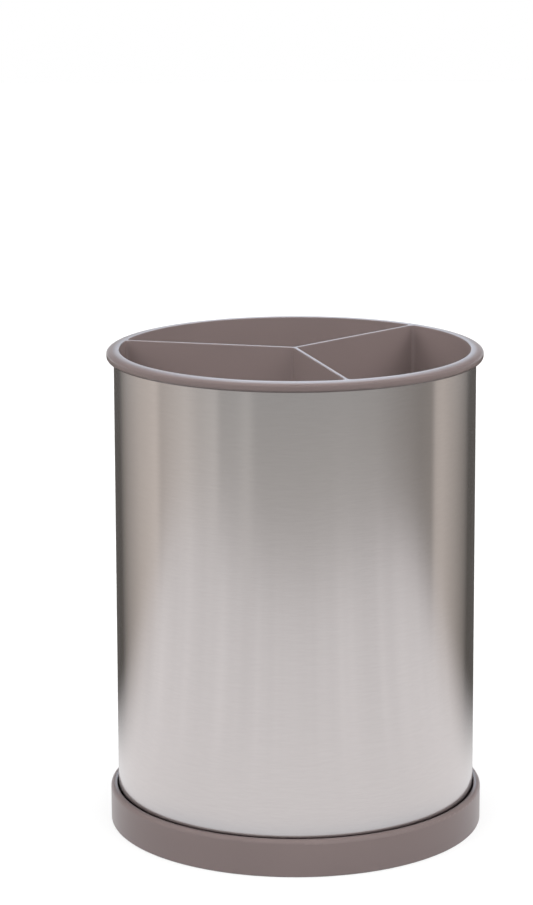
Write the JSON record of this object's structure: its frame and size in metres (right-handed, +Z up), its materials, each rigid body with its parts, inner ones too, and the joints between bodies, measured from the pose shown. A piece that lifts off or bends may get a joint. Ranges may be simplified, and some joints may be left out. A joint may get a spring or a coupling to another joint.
{
  "type": "rotating utensil crock",
  "caption": "Round countertop utensil crock: a brushed steel sleeve with a lift-out divided plastic insert, turning on a ball bearing in a ring base.",
  "frame": {"origin": "middle of the footprint on the worktop, on the turning axis", "axes": "+Z up along the turning axis, the picture looks along +Y, +X to its right"},
  "size_m": [0.1412, 0.1412, 0.182],
  "materials": {
    "brushed_steel": "fine brushing round the sleeve",
    "taupe_moulding": "satin moulded plastic",
    "dark_moulding": "matt moulded plastic",
    "nylon": "natural nylon",
    "ball_steel": "polished bearing steel",
    "plain_steel": "zinc plated",
    "pad_rubber": "matt rubber"
  },
  "bodies": {
    "base": {"base_dish": "taupe_moulding", "foot_pad_1": "pad_rubber", "foot_pad_2": "pad_rubber", "foot_pad_3": "pad_rubber", "foot_pad_4": "pad_rubber", "foot_pad_5": "pad_rubber", "foot_pad_6": "pad_rubber"},
    "ball_ring": {"ball_cage": "nylon", "bearing_ball_01": "ball_steel", "bearing_ball_02": "ball_steel", "bearing_ball_03": "ball_steel", "bearing_ball_04": "ball_steel", "bearing_ball_05": "ball_steel", "bearing_ball_06": "ball_steel", "bearing_ball_07": "ball_steel", "bearing_ball_08": "ball_steel", "bearing_ball_09": "ball_steel", "bearing_ball_10": "ball_steel", "bearing_ball_11": "ball_steel", "bearing_ball_12": "ball_steel", "bearing_ball_13": "ball_steel", "bearing_ball_14": "ball_steel", "bearing_ball_15": "ball_steel", "bearing_ball_16": "ball_steel"},
    "crock": {"turntable_plate": "dark_moulding", "pivot_washer": "plain_steel", "pivot_screw": "plain_steel", "steel_sleeve": "brushed_steel", "floor_plate": "plain_steel", "floor_screws": "plain_steel"},
    "insert": {"insert_liner": "taupe_moulding", "insert_dividers": "taupe_moulding", "insert_rim": "taupe_moulding"}
  },
  "joints": [
    {"name": "turntable_spin", "type": "hinge", "parent": "base", "child": "crock", "pos_m": [0, 0, 0], "axis": [0, 0, 1], "continuous": true},
    {"name": "cage_spin", "type": "hinge", "parent": "base", "child": "ball_ring", "pos_m": [0, 0, 0], "axis": [0, 0, 1], "continuous": true},
    {"name": "insert_lift", "type": "slide", "parent": "crock", "child": "insert", "axis": [0, 0, 1], "range_m": [0, 0.18]}
  ],
  "couplings": [
    {"joint": "cage_spin", "follows": "turntable_spin", "ratio": 0.5}
  ]
}
